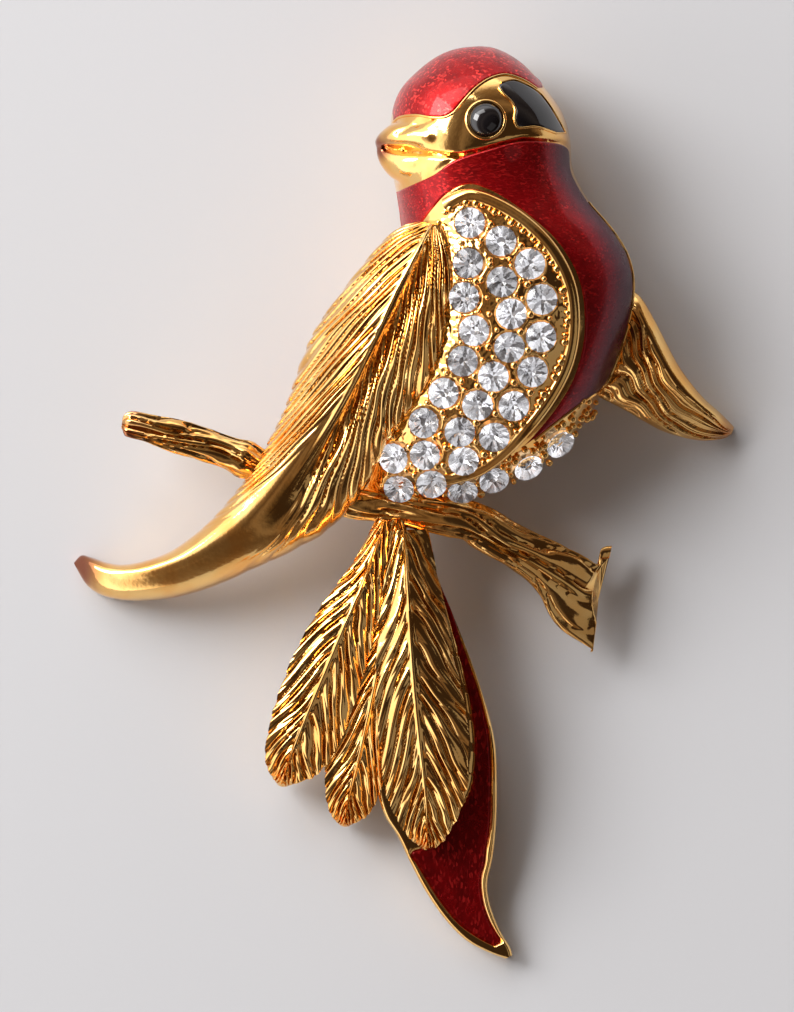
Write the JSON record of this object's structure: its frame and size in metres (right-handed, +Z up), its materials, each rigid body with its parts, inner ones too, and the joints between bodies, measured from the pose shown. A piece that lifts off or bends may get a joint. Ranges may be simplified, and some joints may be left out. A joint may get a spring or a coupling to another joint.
{
  "type": "bird brooch",
  "caption": "Perched bird brooch with spread wings on a branch, enamelled head, breast and long tail feather, stone-set flank, and a pin clasp behind.",
  "frame": {"origin": "middle of the brooch's outline on the surface it lies on", "axes": "+X to the right of the page, +Y from the tail towards the crown, +Z up out of the surface towards the viewer"},
  "size_m": [0.0544, 0.075, 0.0151],
  "materials": {
    "gold": "polished gold plate over cast white metal, worn to copper at the wing tip and branch tip",
    "red_enamel": "translucent glossy red enamel over a bright ground",
    "black_enamel": "opaque glossy black enamel",
    "black_glass": "glossy black domed glass",
    "paste": "clear faceted paste, foiled behind",
    "pin_metal": "plain gold-plated findings"
  },
  "bodies": {
    "root": {"casting": "gold", "crown_enamel": "red_enamel", "breast_enamel": "red_enamel", "tail_enamel": "red_enamel", "mask_enamel": "black_enamel", "eye": "black_glass", "pin_clasp": "pin_metal", "stone_01": "paste", "stone_02": "paste", "stone_03": "paste", "stone_04": "paste", "stone_05": "paste", "stone_06": "paste", "stone_07": "paste", "stone_08": "paste", "stone_09": "paste", "stone_10": "paste", "stone_11": "paste", "stone_12": "paste", "stone_13": "paste", "stone_14": "paste", "stone_15": "paste", "stone_16": "paste", "stone_17": "paste", "stone_18": "paste", "stone_19": "paste", "stone_20": "paste", "stone_21": "paste", "stone_22": "paste", "stone_23": "paste", "stone_24": "paste", "stone_25": "paste", "stone_26": "paste", "stone_27": "paste", "stone_28": "paste", "stone_29": "paste"}
  },
  "joints": []
}
